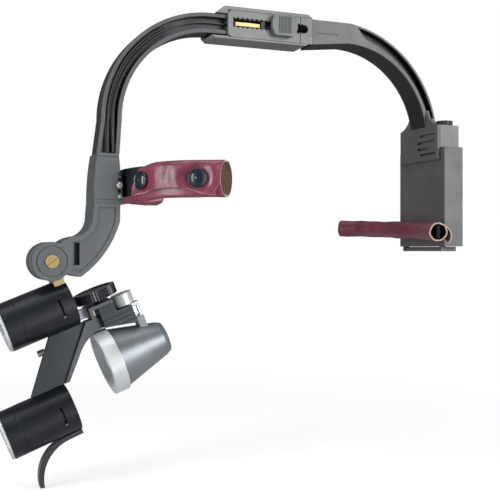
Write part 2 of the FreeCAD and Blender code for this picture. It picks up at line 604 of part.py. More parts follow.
def barrel(which):
    """One telescope: tube, front sleeve, bright bezel, front lens and the turning eyepiece."""
    x, z = size(which + "_x"), size(which + "_z")
    length, front = size("barrel_length"), size("sleeve_length")
    place = at(x, 0, z, "X", OPTICS)
    body = tube(which + "_body", place, "barrel_r", "barrel_bore", "barrel_length - sleeve_length")
    sector = doc.addObject("Part::Cylinder", which + "_slot_sector")
    bind(sector, Radius="barrel_r + 1", Height="focus_slot")
    sector.Angle = size("focus_turn") + 9
    slot_x = x + size("focus_x") - size("focus_slot") / 2
    local = Rotation(Vector(1, 0, 0), -(size("focus_low") + 4.5)).multiply(Rotation(Vector(0, 1, 0), 90))
    quarter = Rotation(Vector(0, 0, 1), 90)
    sector.Placement = OPTICS.multiply(Placement(Vector(slot_x, 0, z), local.multiply(quarter)))
    node(which + "_barrel_tube", cut(which + "_tube_cut", body, sector))
    joint = x + length - front
    neck_place, ring_place, bezel_place, lens_place, rear_place = [
        at(where, 0, z, "X", OPTICS)
        for where in (joint, joint + size("slide_gap"), x + length, x + length - 4.2, x + 1.5)]
    neck = tube(which + "_neck", neck_place, "barrel_r - slide_gap", "barrel_bore", "slide_gap")
    ring = tube(which + "_ring", ring_place, "barrel_r", "barrel_bore", "sleeve_length - slide_gap")
    node(which + "_front_sleeve", fuse(which + "_sleeve", neck, ring))
    node(which + "_bezel", tube(which + "_bezel_ring", bezel_place, "bezel_r", "bezel_bore", "bezel_length"))
    node(which + "_objective", lens(which + "_front_lens", lens_place, "barrel_bore - bore_gap"))
    cell = tube(which + "_cell", place, "barrel_bore - bore_gap", "cell_bore", "cell_length")
    angle = math.radians(-size("focus_low"))
    outward = Vector(0, math.cos(angle), math.sin(angle))
    start = Vector(x + size("focus_x"), 0, z) + outward * size("focus_pin_start")
    pin_place = OPTICS.multiply(Placement(start, Rotation(Vector(0, 0, 1), outward)))
    socket = rod(which + "_pin_socket", pin_place, "focus_pin_r", "barrel_bore")
    node(which + "_eyepiece_cell", cut(which + "_cell_cut", cell, socket))
    node(which + "_focus_pin", rod(which + "_pin", pin_place, "pin_shaft_r", "focus_pin_length"))
    node(which + "_eyepiece_lens", lens(which + "_rear_lens", rear_place, "cell_bore - bore_gap"))


def hinge_tongue():
    x, z, r = size("hinge_x"), size("hinge_z"), size("tongue_r")
    local = OPTICS.inverse().multVec(Vector(x, 0, z))
    half = size("tongue_width") / 2
    disc = rod("tongue_disc", at(x, -half, z, "Y"), "tongue_r", "tongue_width")
    foot = local.z - size("cheek_r") - 0.15
    stem_half = half - 0.1
    stem = block("tongue_stem", (local.x - 3.2, -stem_half, foot),
                 (local.x + 3.2, stem_half, local.z - 5), OPTICS)
    bore = rod("tongue_bore", at(x, -half - 1, z, "Y"), "screw_r + bore_gap", "tongue_width + 2")
    node("hinge_tongue", cut("tongue_cut", fuse("tongue_whole", disc, stem), bore))
    saddle = block("saddle_block", (local.x - 3.4, -8.6, foot - 6),
                   (local.x + 3.4, 8.6, foot - 0.02), OPTICS)
    seat_place = at(local.x - 10, 0, size("upper_z"), "X", OPTICS)
    seat = rod("saddle_seat", seat_place, "barrel_r + bore_gap", "barrel_length")
    node("hinge_saddle", cut("saddle_cut", saddle, seat))


def bridge():
    top, bottom = size("upper_z") - size("barrel_r") - 0.1, size("lower_z") + size("barrel_r") + 0.2
    rear_top, front_top = size("upper_x") - 3.1, size("upper_x") + 20.5
    rear_bottom, front_bottom = size("lower_x") - 0.5, size("lower_x") + 21.2
    slanted = [(rear_top, top), (front_top, top), (front_bottom, bottom), (rear_bottom, bottom)]
    plate = padded("plate_blank", slanted, "plate_thick", OPTICS)
    rods = []
    bores = []
    reach = size("lower_z") + size("barrel_r")
    for index, offset in enumerate((2.2, 9.2)):
        place = at(size("lower_x") + offset, 0, reach, "Z", OPTICS)
        rods.append(rod(f"guide_rod_{index}", place, "guide_rod_r", "guide_rod_length"))
        bores.append(rod(f"guide_bore_{index}", place, "guide_rod_r + bore_gap", "guide_rod_length + wall"))
    node("bridge_plate", cut("plate_cut", plate, *bores))
    node("spacing_rods", group("rods", *rods))
    block_front = size("carrier_front") + 0.2
    node("bridge_flange", padded("flange", [
        (rear_top - 0.1, top), (block_front, top), (block_front, top - 7.6), (118.5, top - 8.2),
        ((126.8, top - 12.6), (132.5, top - 18)), (rear_bottom - 3, bottom), (rear_bottom - 0.1, bottom),
    ], "flange_thick", OPTICS))
    screw_place = at(size("upper_x") + 26.3, 0, -8.2, "X", OPTICS)
    node("plate_screw", rod("edge_screw", screw_place, "edge_screw_r", "edge_screw_length"))


def carrier():
    front, rear = size("carrier_front"), size("carrier_rear")
    body = padded("carrier_blank", [
        (rear, -13.2), (rear, -1.2), (101.6, -1.2), (101.6, 4.8), (front, 4.8), (front, -8.4), (109, -8.9),
    ], "carrier_width", OPTICS)
    half = size("carrier_width") / 2
    shaft_place, spindle_place = [at(size("thumb_x"), 0, -9.5, "Z", OPTICS),
                                  at(size("spacing_x"), 0, -5, "Z", OPTICS)]
    shaft = rod("thumb_bore", shaft_place, "thumb_shaft_r + bore_gap", "cell_length")
    spindle = rod("spindle_bore", spindle_place, "spindle_r + bore_gap", "barrel_bore")
    ridges = []
    for i in range(3):
        z = -4.2 - 3 * i
        ridges.append(block(f"carrier_ridge_{i}", (rear - 1, half - 0.7, z),
                            (front + 1, half + 1, z + 0.8), OPTICS))
    node("carrier_block", cut("carrier_cut", body, shaft, spindle, *ridges))
    frame = padded("frame_blank", [
        (101.7, 5), (115.6, 5), (115.6, -0.35), (117.9, -0.35), (117.9, 7.2), (101.7, 7.2),
    ], "frame_width", OPTICS)
    hole = rod("frame_hole", at(size("spacing_x"), 0, 0, "Z", OPTICS), "spindle_r + bore_gap", "barrel_bore")
    node("carrier_frame", cut("frame_cut", frame, hole))
    node("eyepiece_stop", block("stop_block", (118, -3.4, 1.4), (124.1, 3.4, 7.2), OPTICS))
    knurls = 44
    points = [polar(0, 0, size("spacing_r") - (0.45 if i % 2 else 0), 180 * i / knurls)
              for i in range(2 * knurls)]
    middle = size("spacing_z") + size("spacing_thick") / 2
    top = size("spacing_z") + size("spacing_thick")
    wheel_place, stem_place, dish_place = [
        at(size("spacing_x"), 0, z, "Z", OPTICS) for z in (middle, -4.5, top - 0.8)]
    wheel = padded("spacing_wheel", points, "spacing_thick", role="XY_Plane", frame=wheel_place)
    stem = rod("spacing_spindle", stem_place, "spindle_r", "spindle_length")
    dish = cone("spacing_dish", dish_place, "dish_r", "dish_mouth_r", "dish_depth")
    node("spacing_knob", cut("spacing_cut", fuse("spacing_whole", wheel, stem), dish))
    cap_place = at(size("thumb_x"), 0, size("thumb_z"), "Z", OPTICS)
    cap = rod("thumb_cap", cap_place, "thumb_r", "thumb_thick")
    shank = rod("thumb_shank", at(size("thumb_x"), 0, -9, "Z", OPTICS), "thumb_shaft_r", "thumb_shaft_length")
    node("thumb_screw", fuse("thumb_whole", cap, shank))


def lamp():
    z, rear, joint = size("lamp_z"), size("lamp_rear"), size("lamp_joint")

    def along(start):
        return at(start, 0, z, "X", OPTICS)

    shell = cone("lamp_cone", along(rear + size("lamp_bevel")), "cone_rear_r", "cone_front_r",
                 "lamp_joint - lamp_rear - lamp_bevel")
    tail = cone("lamp_tail", along(rear), "cone_rear_r - lamp_wall", "cone_rear_r", "lamp_bevel")
    room = cone("lamp_room", along(rear + size("sink_start")), "cone_rear_r - lamp_wall",
                "cone_front_r - lamp_wall", "lamp_joint - lamp_rear - sink_start + bore_gap")
    px, pz = size("pivot_x"), size("pivot_z")
    ears = []
    for side in (-1, 1):
        y0, y1 = sorted((side * 3.3, side * 5.4))
        ears.append(block(f"lamp_ear_{side}", (px - 2.4, y0, z + 11.7), (px + 2.4, y1, pz + 2.2), OPTICS))
    pin_place = at(px, -size("pivot_pin_length") / 2, pz, "Y", OPTICS)
    pin = rod("lamp_pin", pin_place, "pivot_pin_r", "pivot_pin_length")
    solid = cut("lamp_hollowed", fuse("lamp_solid", shell, tail), room)
    node("lamp_housing", fuse("lamp_whole", solid, *ears, pin))
    node("lamp_rim", tube("rim", along(joint), "rim_r", "rim_bore", "lamp_front - lamp_joint"))
    node("lamp_lens", lens("front_glass", along(joint + 3), "rim_bore - bore_gap"))
    dish_place = along(rear + size("reflector_start"))
    dish = cone("reflector_outer", dish_place, "reflector_rear_r", "reflector_front_r", "reflector_length")
    bowl = cone("reflector_inner", dish_place, "reflector_rear_r - reflector_wall",
                "reflector_front_r - reflector_wall", "reflector_length")
    node("lamp_reflector", cut("reflector_cut", dish, bowl))
    sink = rod("led_sink", along(rear + size("sink_start")), "sink_r", "sink_length")
    chip_start = rear + size("sink_start") + size("sink_length") - 0.5
    chip_place = at(chip_start, 0, z - size("chip_size") / 2, "Z", OPTICS)
    chip = box("led_chip", chip_place, "chip_thick", "chip_size", "chip_size")
    node("lamp_led", fuse("led_whole", sink, chip))
    bridge_bar = block("guide_bar", (84.9, -3, -3.4), (size("carrier_rear") - 0.05, 3, -1.3), OPTICS)
    guides = [rod(f"lamp_rod_{i}", at(x, 0, pz + 0.5, "Z", OPTICS), "guide_post_r", "guide_post_length")
              for i, x in enumerate((86.3, 89.3))]
    eye_place = at(px, -size("pivot_barrel_width") / 2, pz, "Y", OPTICS)
    eye = rod("pivot_eye", eye_place, "pivot_barrel_r", "pivot_barrel_width")
    eye_bore = rod("pivot_bore", at(px, -4, pz, "Y", OPTICS), "pivot_r", "pivot_barrel_width + 2")
    node("lamp_guide", cut("guide_cut", fuse("guide_whole", bridge_bar, *guides, eye), eye_bore))


def lever():
    bottom = size("lower_z") - size("barrel_r") - 0.1
    node("lower_lever", padded("lever", [
        (147.8, bottom), (160, bottom - 0.2), ((174.6, bottom - 5.4), (184.3, bottom - 23)),
        (181.7, bottom - 23.8),
        ((172.7, bottom - 8.3), (159.6, bottom - 2.9)), (147.8, bottom - 2.7),
    ], "lever_width", OPTICS))


# ---------------------------------------------------------------- build and write
crown_slide()
lock_button()
front_arch()
lamp_cables()
forehead_bracket()
loupe_arm()
brow_band()
rear_arch()
lamp_module()
battery()
nape_band()
barrel("upper")
barrel("lower")
hinge_tongue()
bridge()
carrier()
lamp()
lever()
doc.recompute()

for feature in doc.Objects:
    failed = {"Invalid", "Error"} & set(feature.State)
    assert not failed, f"{feature.Name} ({feature.Label}) failed: {feature.State}"
for feature in cuts:
    assert feature.Shape.Volume < feature.Base.Shape.Volume - 1e-3, f"{feature.Name} cut nothing"
for label, feature in nodes.items():
    assert not feature.Shape.isNull() and feature.Shape.isValid(), f"{label} has no valid shape"
    assert feature.Shape.Solids, f"{label} has no solid"

os.makedirs("parts", exist_ok=True)
for label, feature in nodes.items():
    feature.Shape.exportStep(f"parts/{label}.step")
print(len(nodes), "nodes written")
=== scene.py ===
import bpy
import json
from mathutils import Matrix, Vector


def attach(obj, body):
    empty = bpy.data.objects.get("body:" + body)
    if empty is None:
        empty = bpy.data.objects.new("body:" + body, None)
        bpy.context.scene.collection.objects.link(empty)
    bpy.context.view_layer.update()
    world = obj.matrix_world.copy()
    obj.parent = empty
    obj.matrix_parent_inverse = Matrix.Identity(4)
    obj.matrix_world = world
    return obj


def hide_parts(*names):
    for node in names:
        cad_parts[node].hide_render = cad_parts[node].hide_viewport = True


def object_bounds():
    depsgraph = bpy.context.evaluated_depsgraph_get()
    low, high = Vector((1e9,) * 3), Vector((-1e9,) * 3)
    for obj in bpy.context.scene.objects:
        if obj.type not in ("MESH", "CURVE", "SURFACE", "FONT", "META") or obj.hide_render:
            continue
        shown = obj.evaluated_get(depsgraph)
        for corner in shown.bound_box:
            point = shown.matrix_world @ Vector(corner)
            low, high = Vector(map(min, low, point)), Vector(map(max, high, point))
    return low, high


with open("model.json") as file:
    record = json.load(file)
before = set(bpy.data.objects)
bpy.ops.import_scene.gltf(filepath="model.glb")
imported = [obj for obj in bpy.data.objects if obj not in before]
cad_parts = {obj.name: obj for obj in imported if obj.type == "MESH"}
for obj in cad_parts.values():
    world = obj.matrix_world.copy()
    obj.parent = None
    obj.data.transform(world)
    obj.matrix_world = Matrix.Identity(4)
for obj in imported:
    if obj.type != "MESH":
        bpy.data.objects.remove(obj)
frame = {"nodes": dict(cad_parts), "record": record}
cad_low, cad_high = [list(corner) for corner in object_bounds()]

import json
import math

import bpy
from mathutils import Matrix, Vector, noise

# Lengths in BROW, NAPE and SNAP_SEAT are in millimetres and angles in degrees; MM turns
# millimetres into metres.
MM = 0.001
BROW = {"centre_x": -20, "r": 68.2, "z": 42.45, "start": 18, "near_end": 75.4, "far_end": 67,
        "far_lift": 0.6, "hide": 1.15, "snap_angles": (26, 58)}
NAPE = {"centre_x": 20, "r": 108.5, "z": 14.4, "half_angle": 38.6, "roll": 2.2, "hide": 1.2}
SNAP_SEAT = 3.25

# Shader lengths are in metres.
BEVEL = 0.0003
CORE_BLEND = 0.0002
# The pale edge marks are rubbed wear and a painted highlight together.
WEAR_AND_HIGHLIGHT_REACH = 1.6
MOULDED_WEAR_AND_HIGHLIGHT = 0.7
METAL_WEAR_AND_HIGHLIGHT = 0.9
FIBRE_ROUGH = 0.85

# Stage and camera, in metres; the lens and sensor are in millimetres.
FLOOR_REACH = 12
FLOOR_GAP = 0.0005
FLOOR_OPACITY = 0.4
FLOOR_GLOW = 0.3
FADE_START, FADE_END = 0.2, 0.6
FILL_STRENGTH = 0.2
CAMERA_AT = (-0.2248, -0.5563, 0)
CAMERA_AIM = (0.3746, 0.9272, 0)
LENS, SENSOR = 63.7, 36


# ---------------------------------------------------------------- materials
def linear(rgb):
    """Display colour, 0 to 255, as the linear values a shader takes."""
    return [((c / 255 + 0.055) / 1.055) ** 2.4 if c > 10 else c / 255 / 12.92 for c in rgb] + [1]


class Nodes:
    """Adds shader nodes to one material and links them."""

    def __init__(self, name):
        self.material = bpy.data.materials.new(name)
        self.material.use_nodes = True
        self.tree = self.material.node_tree
        self.tree.nodes.clear()
        self.shader = self.add("ShaderNodeBsdfPrincipled")
        output = self.add("ShaderNodeOutputMaterial")
        self.tree.links.new(self.shader.outputs[0], output.inputs[0])
        self.where = self.add("ShaderNodeTexCoord").outputs["Object"]

    def add(self, kind, inputs=None, **settings):
        node = self.tree.nodes.new(kind)
        for key, value in settings.items():
            setattr(node, key, value)
        for key, value in (inputs or {}).items():
            if hasattr(value, "is_linked"):
                self.tree.links.new(value, node.inputs[key])
            else:
                node.inputs[key].default_value = value
        return node

    def link(self, socket, name):
        self.tree.links.new(socket, self.shader.inputs[name])

    def noise(self, scale, detail=4, where=None, roughness=0.55):
        return self.add("ShaderNodeTexNoise", {"Vector": where or self.where, "Scale": scale,
                                               "Detail": detail, "Roughness": roughness}).outputs["Fac"]

    def stretched(self, scale):
        return self.add("ShaderNodeMapping", {"Vector": self.where, "Scale": scale}).outputs[0]

    def ramp(self, fac, *stops):
        node = self.add("ShaderNodeValToRGB", {"Fac": fac})
        while len(node.color_ramp.elements) < len(stops):
            node.color_ramp.elements.new(0.5)
        for element, (place, colour) in zip(node.color_ramp.elements, stops):
            element.position = place
            element.color = colour
        return node.outputs["Color"]

    def spread(self, fac, low, high):
        return self.add("ShaderNodeMapRange", {"Value": fac, "From Min": 0.3, "From Max": 0.7,
                                               "To Min": low, "To Max": high}).outputs[0]

    def mix(self, fac, first, second, blend="MIX"):
        node = self.add("ShaderNodeMix", data_type="RGBA", blend_type=blend)
        for index, value in ((0, fac), (6, first), (7, second)):
            if hasattr(value, "is_linked"):
                self.tree.links.new(value, node.inputs[index])
            else:
                node.inputs[index].default_value = value
        return node.outputs[2]

    def edges(self, radius, strength):
        """1 along sharp edges, 0 on flat faces, broken up by noise: rubbed wear together with a painted
        highlight on the edges.
        """
        soft = self.add("ShaderNodeBevel", {"Radius": radius}, samples=6).outputs[0]
        plain = self.add("ShaderNodeNewGeometry").outputs["Normal"]
        along = self.add("ShaderNodeVectorMath", {0: soft, 1: plain},
                         operation="DOT_PRODUCT").outputs["Value"]
        away = self.add("ShaderNodeMath", {0: 1.0, 1: along}, operation="SUBTRACT").outputs[0]
        patchy = self.spread(self.noise(120), 0.75 * strength, strength)
        return self.add("ShaderNodeMath", {0: away, 1: patchy}, operation="MULTIPLY",
                        use_clamp=True).outputs[0]

    def bump(self, height, distance, radius, strength=1.0):
        edge = self.add("ShaderNodeBevel", {"Radius": radius}, samples=6).outputs[0]
        node = self.add("ShaderNodeBump", {"Height": height, "Normal": edge,
                                           "Distance": distance, "Strength": strength})
        self.link(node.outputs[0], "Normal")


def moulded(name, dark, light, edge, rough=0.5, grain=2400, depth=0.00002, core=None, glow=0.0):
    """Satin moulded plastic: faint tone drift, spark-eroded grain, paler edges of rubbed wear and painted
    highlight.
    core is the distance from the middle plane, in metres, within which the colour turns black:
    painted shade in the arches' recessed channels and across their inner faces. glow is the strength of the
    light given off."""
    n = Nodes(name)
    tone = n.ramp(n.noise(28), (0.3, linear(dark)), (0.7, linear(light)))
    speck = n.ramp(n.noise(grain, 2), (0.35, (0.93, 0.93, 0.93, 1)), (0.65, (1.05, 1.05, 1.05, 1)))
    # Paler edges: rubbed wear plus a painted highlight.
    wear_and_highlight = n.edges(BEVEL * WEAR_AND_HIGHLIGHT_REACH, MOULDED_WEAR_AND_HIGHLIGHT)
    colour = n.mix(wear_and_highlight, n.mix(1.0, tone, speck, "MULTIPLY"), linear(edge))
    if core:
        across = n.add("ShaderNodeSeparateXYZ", {"Vector": n.where}).outputs["Y"]
        off_middle = n.add("ShaderNodeMath", {0: across}, operation="ABSOLUTE").outputs[0]
        inside = n.add("ShaderNodeMapRange",
                       {"Value": off_middle, "From Min": core - CORE_BLEND, "From Max": core,
                        "To Min": 1.0, "To Max": 0.0}).outputs[0]
        # Painted shade: near-black in the channels and across the inner faces.
        painted_shade = n.ramp(n.noise(60), (0.3, linear((16, 17, 21))), (0.7, linear((27, 29, 34))))
        colour = n.mix(inside, colour, painted_shade)
    n.link(colour, "Base Color")
    if glow:
        n.link(colour, "Emission Color")
        n.shader.inputs["Emission Strength"].default_value = glow
    n.link(n.spread(n.noise(60), rough - 0.06, rough + 0.08), "Roughness")
    n.bump(n.noise(grain, 3), depth, BEVEL)
    return n.material


def anodised(name, dark, light, edge, rough, metallic=0.55, lines=(1, 1, 1)):
    """Anodised or plated metal: fine turning lines, soft tone drift, bright edges of rubbed wear and painted
    highlight.
    """
    n = Nodes(name)
    streak = n.noise(2600, 3, n.stretched(lines))
    tone = n.ramp(n.noise(45), (0.3, linear(dark)), (0.7, linear(light)))
    fine = n.ramp(streak, (0.3, (0.96, 0.96, 0.96, 1)), (0.7, (1.04, 1.04, 1.04, 1)))
    # Brighter edges: rubbed wear plus a painted highlight.
    wear_and_highlight = n.edges(BEVEL * WEAR_AND_HIGHLIGHT_REACH, METAL_WEAR_AND_HIGHLIGHT)
    n.link(n.mix(wear_and_highlight, n.mix(1.0, tone, fine, "MULTIPLY"), linear(edge)), "Base Color")
    n.link(n.spread(streak, rough - 0.02, rough + 0.04), "Roughness")
    n.shader.inputs["Metallic"].default_value = metallic
    n.bump(streak, 0.0000015, BEVEL)
    return n.material


def glass(name, tint, rough):
    """Coated optical glass with a faint uneven film."""
    n = Nodes(name)
    film = n.noise(70)
    n.link(n.ramp(film, (0.3, linear(tint)), (0.7, (0.95, 0.97, 1, 1))), "Base Color")
    n.link(n.spread(film, rough, rough + 0.03), "Roughness")
    n.shader.inputs["Transmission Weight"].default_value = 0.85
    n.shader.inputs["IOR"].default_value = 1.5
    n.shader.inputs["Coat Weight"].default_value = 0.4
    return n.material


def leather(name, deep, lit, rough):
    """Smooth dyed hide: pores and fine creases with painted shade in them, cloudy dye, soft polish on the
    high spots.
    """
    n = Nodes(name)
    cloud = n.noise(55, 5)
    crease = n.noise(420, 6, roughness=0.7)
    pores = n.add("ShaderNodeTexVoronoi", {"Vector": n.where, "Scale": 1500.0}).outputs["Distance"]
    tone = n.ramp(cloud, (0.3, linear(deep)), (0.7, linear(lit)))
    # Painted shade: darker where the crease relief is low.
    painted_crease_shade = n.ramp(crease, (0.32, (0.84, 0.82, 0.84, 1)), (0.6, (1.05, 1.04, 1.05, 1)))
    n.link(n.mix(1.0, tone, painted_crease_shade, "MULTIPLY"), "Base Color")
    n.link(n.spread(crease, rough + 0.08, rough - 0.06), "Roughness")
    n.shader.inputs["Coat Weight"].default_value = 0.05
    n.shader.inputs["Coat Roughness"].default_value = 0.3
    relief = n.add("ShaderNodeMath", {0: pores, 1: crease}, operation="ADD").outputs[0]
    n.bump(relief, 0.00007, BEVEL, 0.6)
    return n.material


def fibrous(name, dark, light, scale, depth, sheen=0.0):
    """Cut hide edge or suede: short fibres, no polish."""
    n = Nodes(name)
    fibre = n.noise(scale, 8, roughness=0.8)
    n.link(n.ramp(fibre, (0.3, linear(dark)), (0.68, linear(light))), "Base Color")
    n.link(n.spread(fibre, FIBRE_ROUGH - 0.05, FIBRE_ROUGH + 0.1), "Roughness")
    n.shader.inputs["Sheen Weight"].default_value = sheen
    n.bump(fibre, depth, 0.0002)
    return n.material


MATERIALS = {
    "grey_plastic": moulded("grey_plastic", (106, 109, 107), (121, 123, 120), (152, 154, 152)),
    "dark_plastic": moulded("dark_plastic", (82, 83, 86), (94, 95, 97), (122, 124, 124)),
    "black_plastic": moulded("black_plastic", (13, 14, 17), (22, 23, 27), (60, 62, 66), rough=0.4),
    "bracket_plastic": moulded("bracket_plastic", (59, 63, 66), (73, 77, 80), (112, 116, 118),
                               grain=1500, depth=0.00006),
    "panel_plastic": moulded("panel_plastic", (60, 62, 66), (71, 74, 78), (104, 108, 112),
                             grain=1500, depth=0.00006),
    "knob_plastic": moulded("knob_plastic", (92, 95, 96), (110, 114, 114), (150, 152, 152)),
    "cable_jacket": moulded("cable_jacket", (12, 13, 16), (22, 24, 28), (40, 42, 46), rough=0.5),
    "pale_nylon": moulded("pale_nylon", (160, 156, 174), (186, 182, 198), (206, 204, 214), rough=0.3),
    "circuit_board": moulded("circuit_board", (12, 52, 26), (20, 70, 38), (120, 104, 56), rough=0.35),
    "cell_wrap": moulded("cell_wrap", (20, 42, 80), (28, 56, 98), (70, 86, 120), rough=0.3),
    "snap_black": moulded("snap_black", (13, 20, 32), (20, 29, 43), (46, 54, 68), rough=0.24, depth=0.000004),
    "barrel_black": anodised("barrel_black", (7, 11, 18), (12, 17, 25), (66, 72, 80), rough=0.34,
                             metallic=0.2, lines=(1, 0.15, 1)),
    "plate_black": anodised("plate_black", (36, 40, 44), (48, 52, 56), (110, 114, 118), rough=0.42),
    "plate_grey": anodised("plate_grey", (64, 66, 69), (78, 80, 83), (126, 128, 130), rough=0.4),
    "lever_black": anodised("lever_black", (48, 48, 54), (64, 64, 71), (150, 152, 156), rough=0.3),
    "knob_black": anodised("knob_black", (24, 26, 30), (40, 42, 48), (120, 122, 126), rough=0.25),
    "lamp_black": anodised("lamp_black", (98, 103, 108), (120, 125, 130), (146, 150, 154), rough=0.36,
                           metallic=0.5, lines=(1, 0.15, 1)),
    "silver": anodised("silver", (178, 181, 183), (200, 203, 205), (226, 228, 230), rough=0.32,
                       metallic=0.35),
    "bright_steel": anodised("bright_steel", (180, 184, 188), (206, 208, 210), (224, 226, 228), rough=0.24,
                             metallic=0.7),
    "spring_steel": anodised("spring_steel", (108, 110, 114), (140, 142, 146), (176, 178, 182), rough=0.28,
                             metallic=0.8),
    "brass": anodised("brass", (142, 124, 78), (172, 154, 106), (214, 200, 156), rough=0.34, metallic=0.5),
    "reflector": anodised("reflector", (214, 216, 218), (240, 240, 242), (252, 252, 252), rough=0.1,
                          metallic=1.0),
    "led_sink": anodised("led_sink", (150, 146, 118), (184, 178, 138), (206, 202, 176), rough=0.4,
                         metallic=0.6),
    "lens_glass": glass("lens_glass", (226, 232, 238), 0.02),
    "burgundy_leather": leather("burgundy_leather", (94, 38, 55), (128, 60, 80), 0.34),
}
FINISHES = {
    # core paints shade, black, into the arches' channels and across their inner faces.
    "front_arch": moulded("front_arch_plastic", (56, 60, 64), (69, 73, 77), (106, 110, 112), core=0.0070),
    "rear_arch": moulded("rear_arch_plastic", (84, 85, 88), (96, 97, 99), (122, 124, 124), core=0.0093),
    "lamp_lens": moulded("lamp_diffuser", (196, 200, 204), (228, 230, 232), (244, 244, 244), rough=0.2,
                         glow=0.42),
    "nape_core": moulded("nape_core_black", (10, 9, 9), (20, 17, 17), (30, 26, 26), rough=0.7),
}
LEATHER_EDGE = fibrous("leather_cut_edge", (168, 138, 122), (220, 198, 182), 1600, 0.00012)
SUEDE = fibrous("leather_suede_side", (44, 29, 22), (104, 78, 58), 900, 0.0004, sheen=0.3)

for part in frame["record"]["subparts"]:
    for held in frame["nodes"][part["node"]].material_slots:
        held.material = FINISHES.get(part["node"], MATERIALS[part["material_slot"]])


# ---------------------------------------------------------------- mesh helpers
def smoothstep(low, high, value):
    t = min(1, max(0, (value - low) / (high - low)))
    return t * t * (3 - 2 * t)


def through(points, count):
    """Evenly spaced positions along one smooth curve through the points."""
    last = len(points) - 1
    fine = []
    for step in range(last * 24 + 1):
        k = min(step // 24, last - 1)
        t = step / 24 - k
        a, b, c, d = [points[min(last, max(0, k + i))] for i in (-1, 0, 1, 2)]
        fine.append([0.5 * (2 * q + (r - p) * t + (2 * p - 5 * q + 4 * r - s) * t * t
                            + (3 * q - p - 3 * r + s) * t ** 3) for p, q, r, s in zip(a, b, c, d)])
    runs = [0]
    for first, second in zip(fine, fine[1:]):
        runs.append(runs[-1] + math.dist(first, second))
    found = []
    at = 0
    for i in range(count + 1):
        wanted = runs[-1] * i / count
        while at < len(fine) - 2 and runs[at + 1] < wanted:
            at += 1
        share = (wanted - runs[at]) / max(1e-9, runs[at + 1] - runs[at])
        found.append([p + (q - p) * share for p, q in zip(fine[at], fine[at + 1])])
    return found


def hide_piece(name, rows, thickness, body):
    """A sheet of hide from a grid of points: dyed outside, suede inside, pale cut edge."""
    across = len(rows[0])
    points = [point for row in rows for point in row]
    faces = [(i * across + j, (i + 1) * across + j, (i + 1) * across + j + 1, i * across + j + 1)
             for i in range(len(rows) - 1) for j in range(across - 1)]
    mesh = bpy.data.meshes.new(name)
    mesh.from_pydata(points, [], faces)
    for material in (MATERIALS["burgundy_leather"], SUEDE, LEATHER_EDGE):
        mesh.materials.append(material)
    mesh.shade_smooth()
    piece = bpy.data.objects.new(name, mesh)
    bpy.context.scene.collection.objects.link(piece)
    solid = piece.modifiers.new("thickness", "SOLIDIFY")
    solid.thickness = thickness
    solid.offset = 0
    solid.material_offset = 1
    solid.material_offset_rim = 2
    soft = piece.modifiers.new("round", "SUBSURF")
    soft.levels = soft.render_levels = 1
    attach(piece, body)
    return piece


def turned(name, profile, places, material, body, segments=56):
    """The same turned shape, from (radius, height) points, set at each place."""
    points, faces = [], []
    for place in places:
        base = len(points)
        for k in range(segments):
            angle = math.tau * k / segments
            for r, h in profile:
                points.append(place @ Vector((r * math.cos(angle), r * math.sin(angle), h)))
        count = len(profile)
        for k in range(segments):
            for i in range(count - 1):
                here, there = base + k * count, base + (k + 1) % segments * count
                faces.append((here + i, there + i, there + i + 1, here + i + 1))
        for ring, turn in ((0, 1), (count - 1, -1)):
            faces.append([base + k * count + ring for k in range(segments)][::turn])
    mesh = bpy.data.meshes.new(name)
    mesh.from_pydata(points, [], faces)
    mesh.materials.append(material)
    mesh.shade_smooth()
    piece = bpy.data.objects.new(name, mesh)
    bpy.context.scene.collection.objects.link(piece)
    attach(piece, body)
    return piece


# ---------------------------------------------------------------- brow leather
def brow_section(u):
    """The folded hide's cross-section: (outward, up) in mm, from the flap's cut edge, over the
    top, down the inside, under the band and back up beneath the flap."""
    begin = 1 - smoothstep(0, 0.34, u)
    end = smoothstep(0.72, 1, u)
    edge = -9.3 + 3.6 * math.sin(math.pi * min(1, u * 1.08)) ** 1.3 - 0.8 * end
    belly = 1.5 * (1 - smoothstep(0.05, 0.42, u))
    top = 10.3 - 2.4 * begin
    inner = -2.2 - 4.8 * end
    return [
        (3.0 + 0.8 * end, edge), (3.3, 0.5 * edge), (3.3 + 0.4 * end, 2.2), (2.9, 0.74 * top),
        (1.3, 0.97 * top),
        (-1.0 - 1.6 * end, top + 0.1), (inner + 0.2, 0.78 * top), (inner, 2.6), (inner, -4),
        (inner + 0.4, -8.4), (-0.4 - 1.4 * end, -10.6 - belly), (1.4 + 0.3 * belly, -10.0 - belly),
        (1.75, -6.4), (1.75, -1), (1.75, 3.5),
    ]


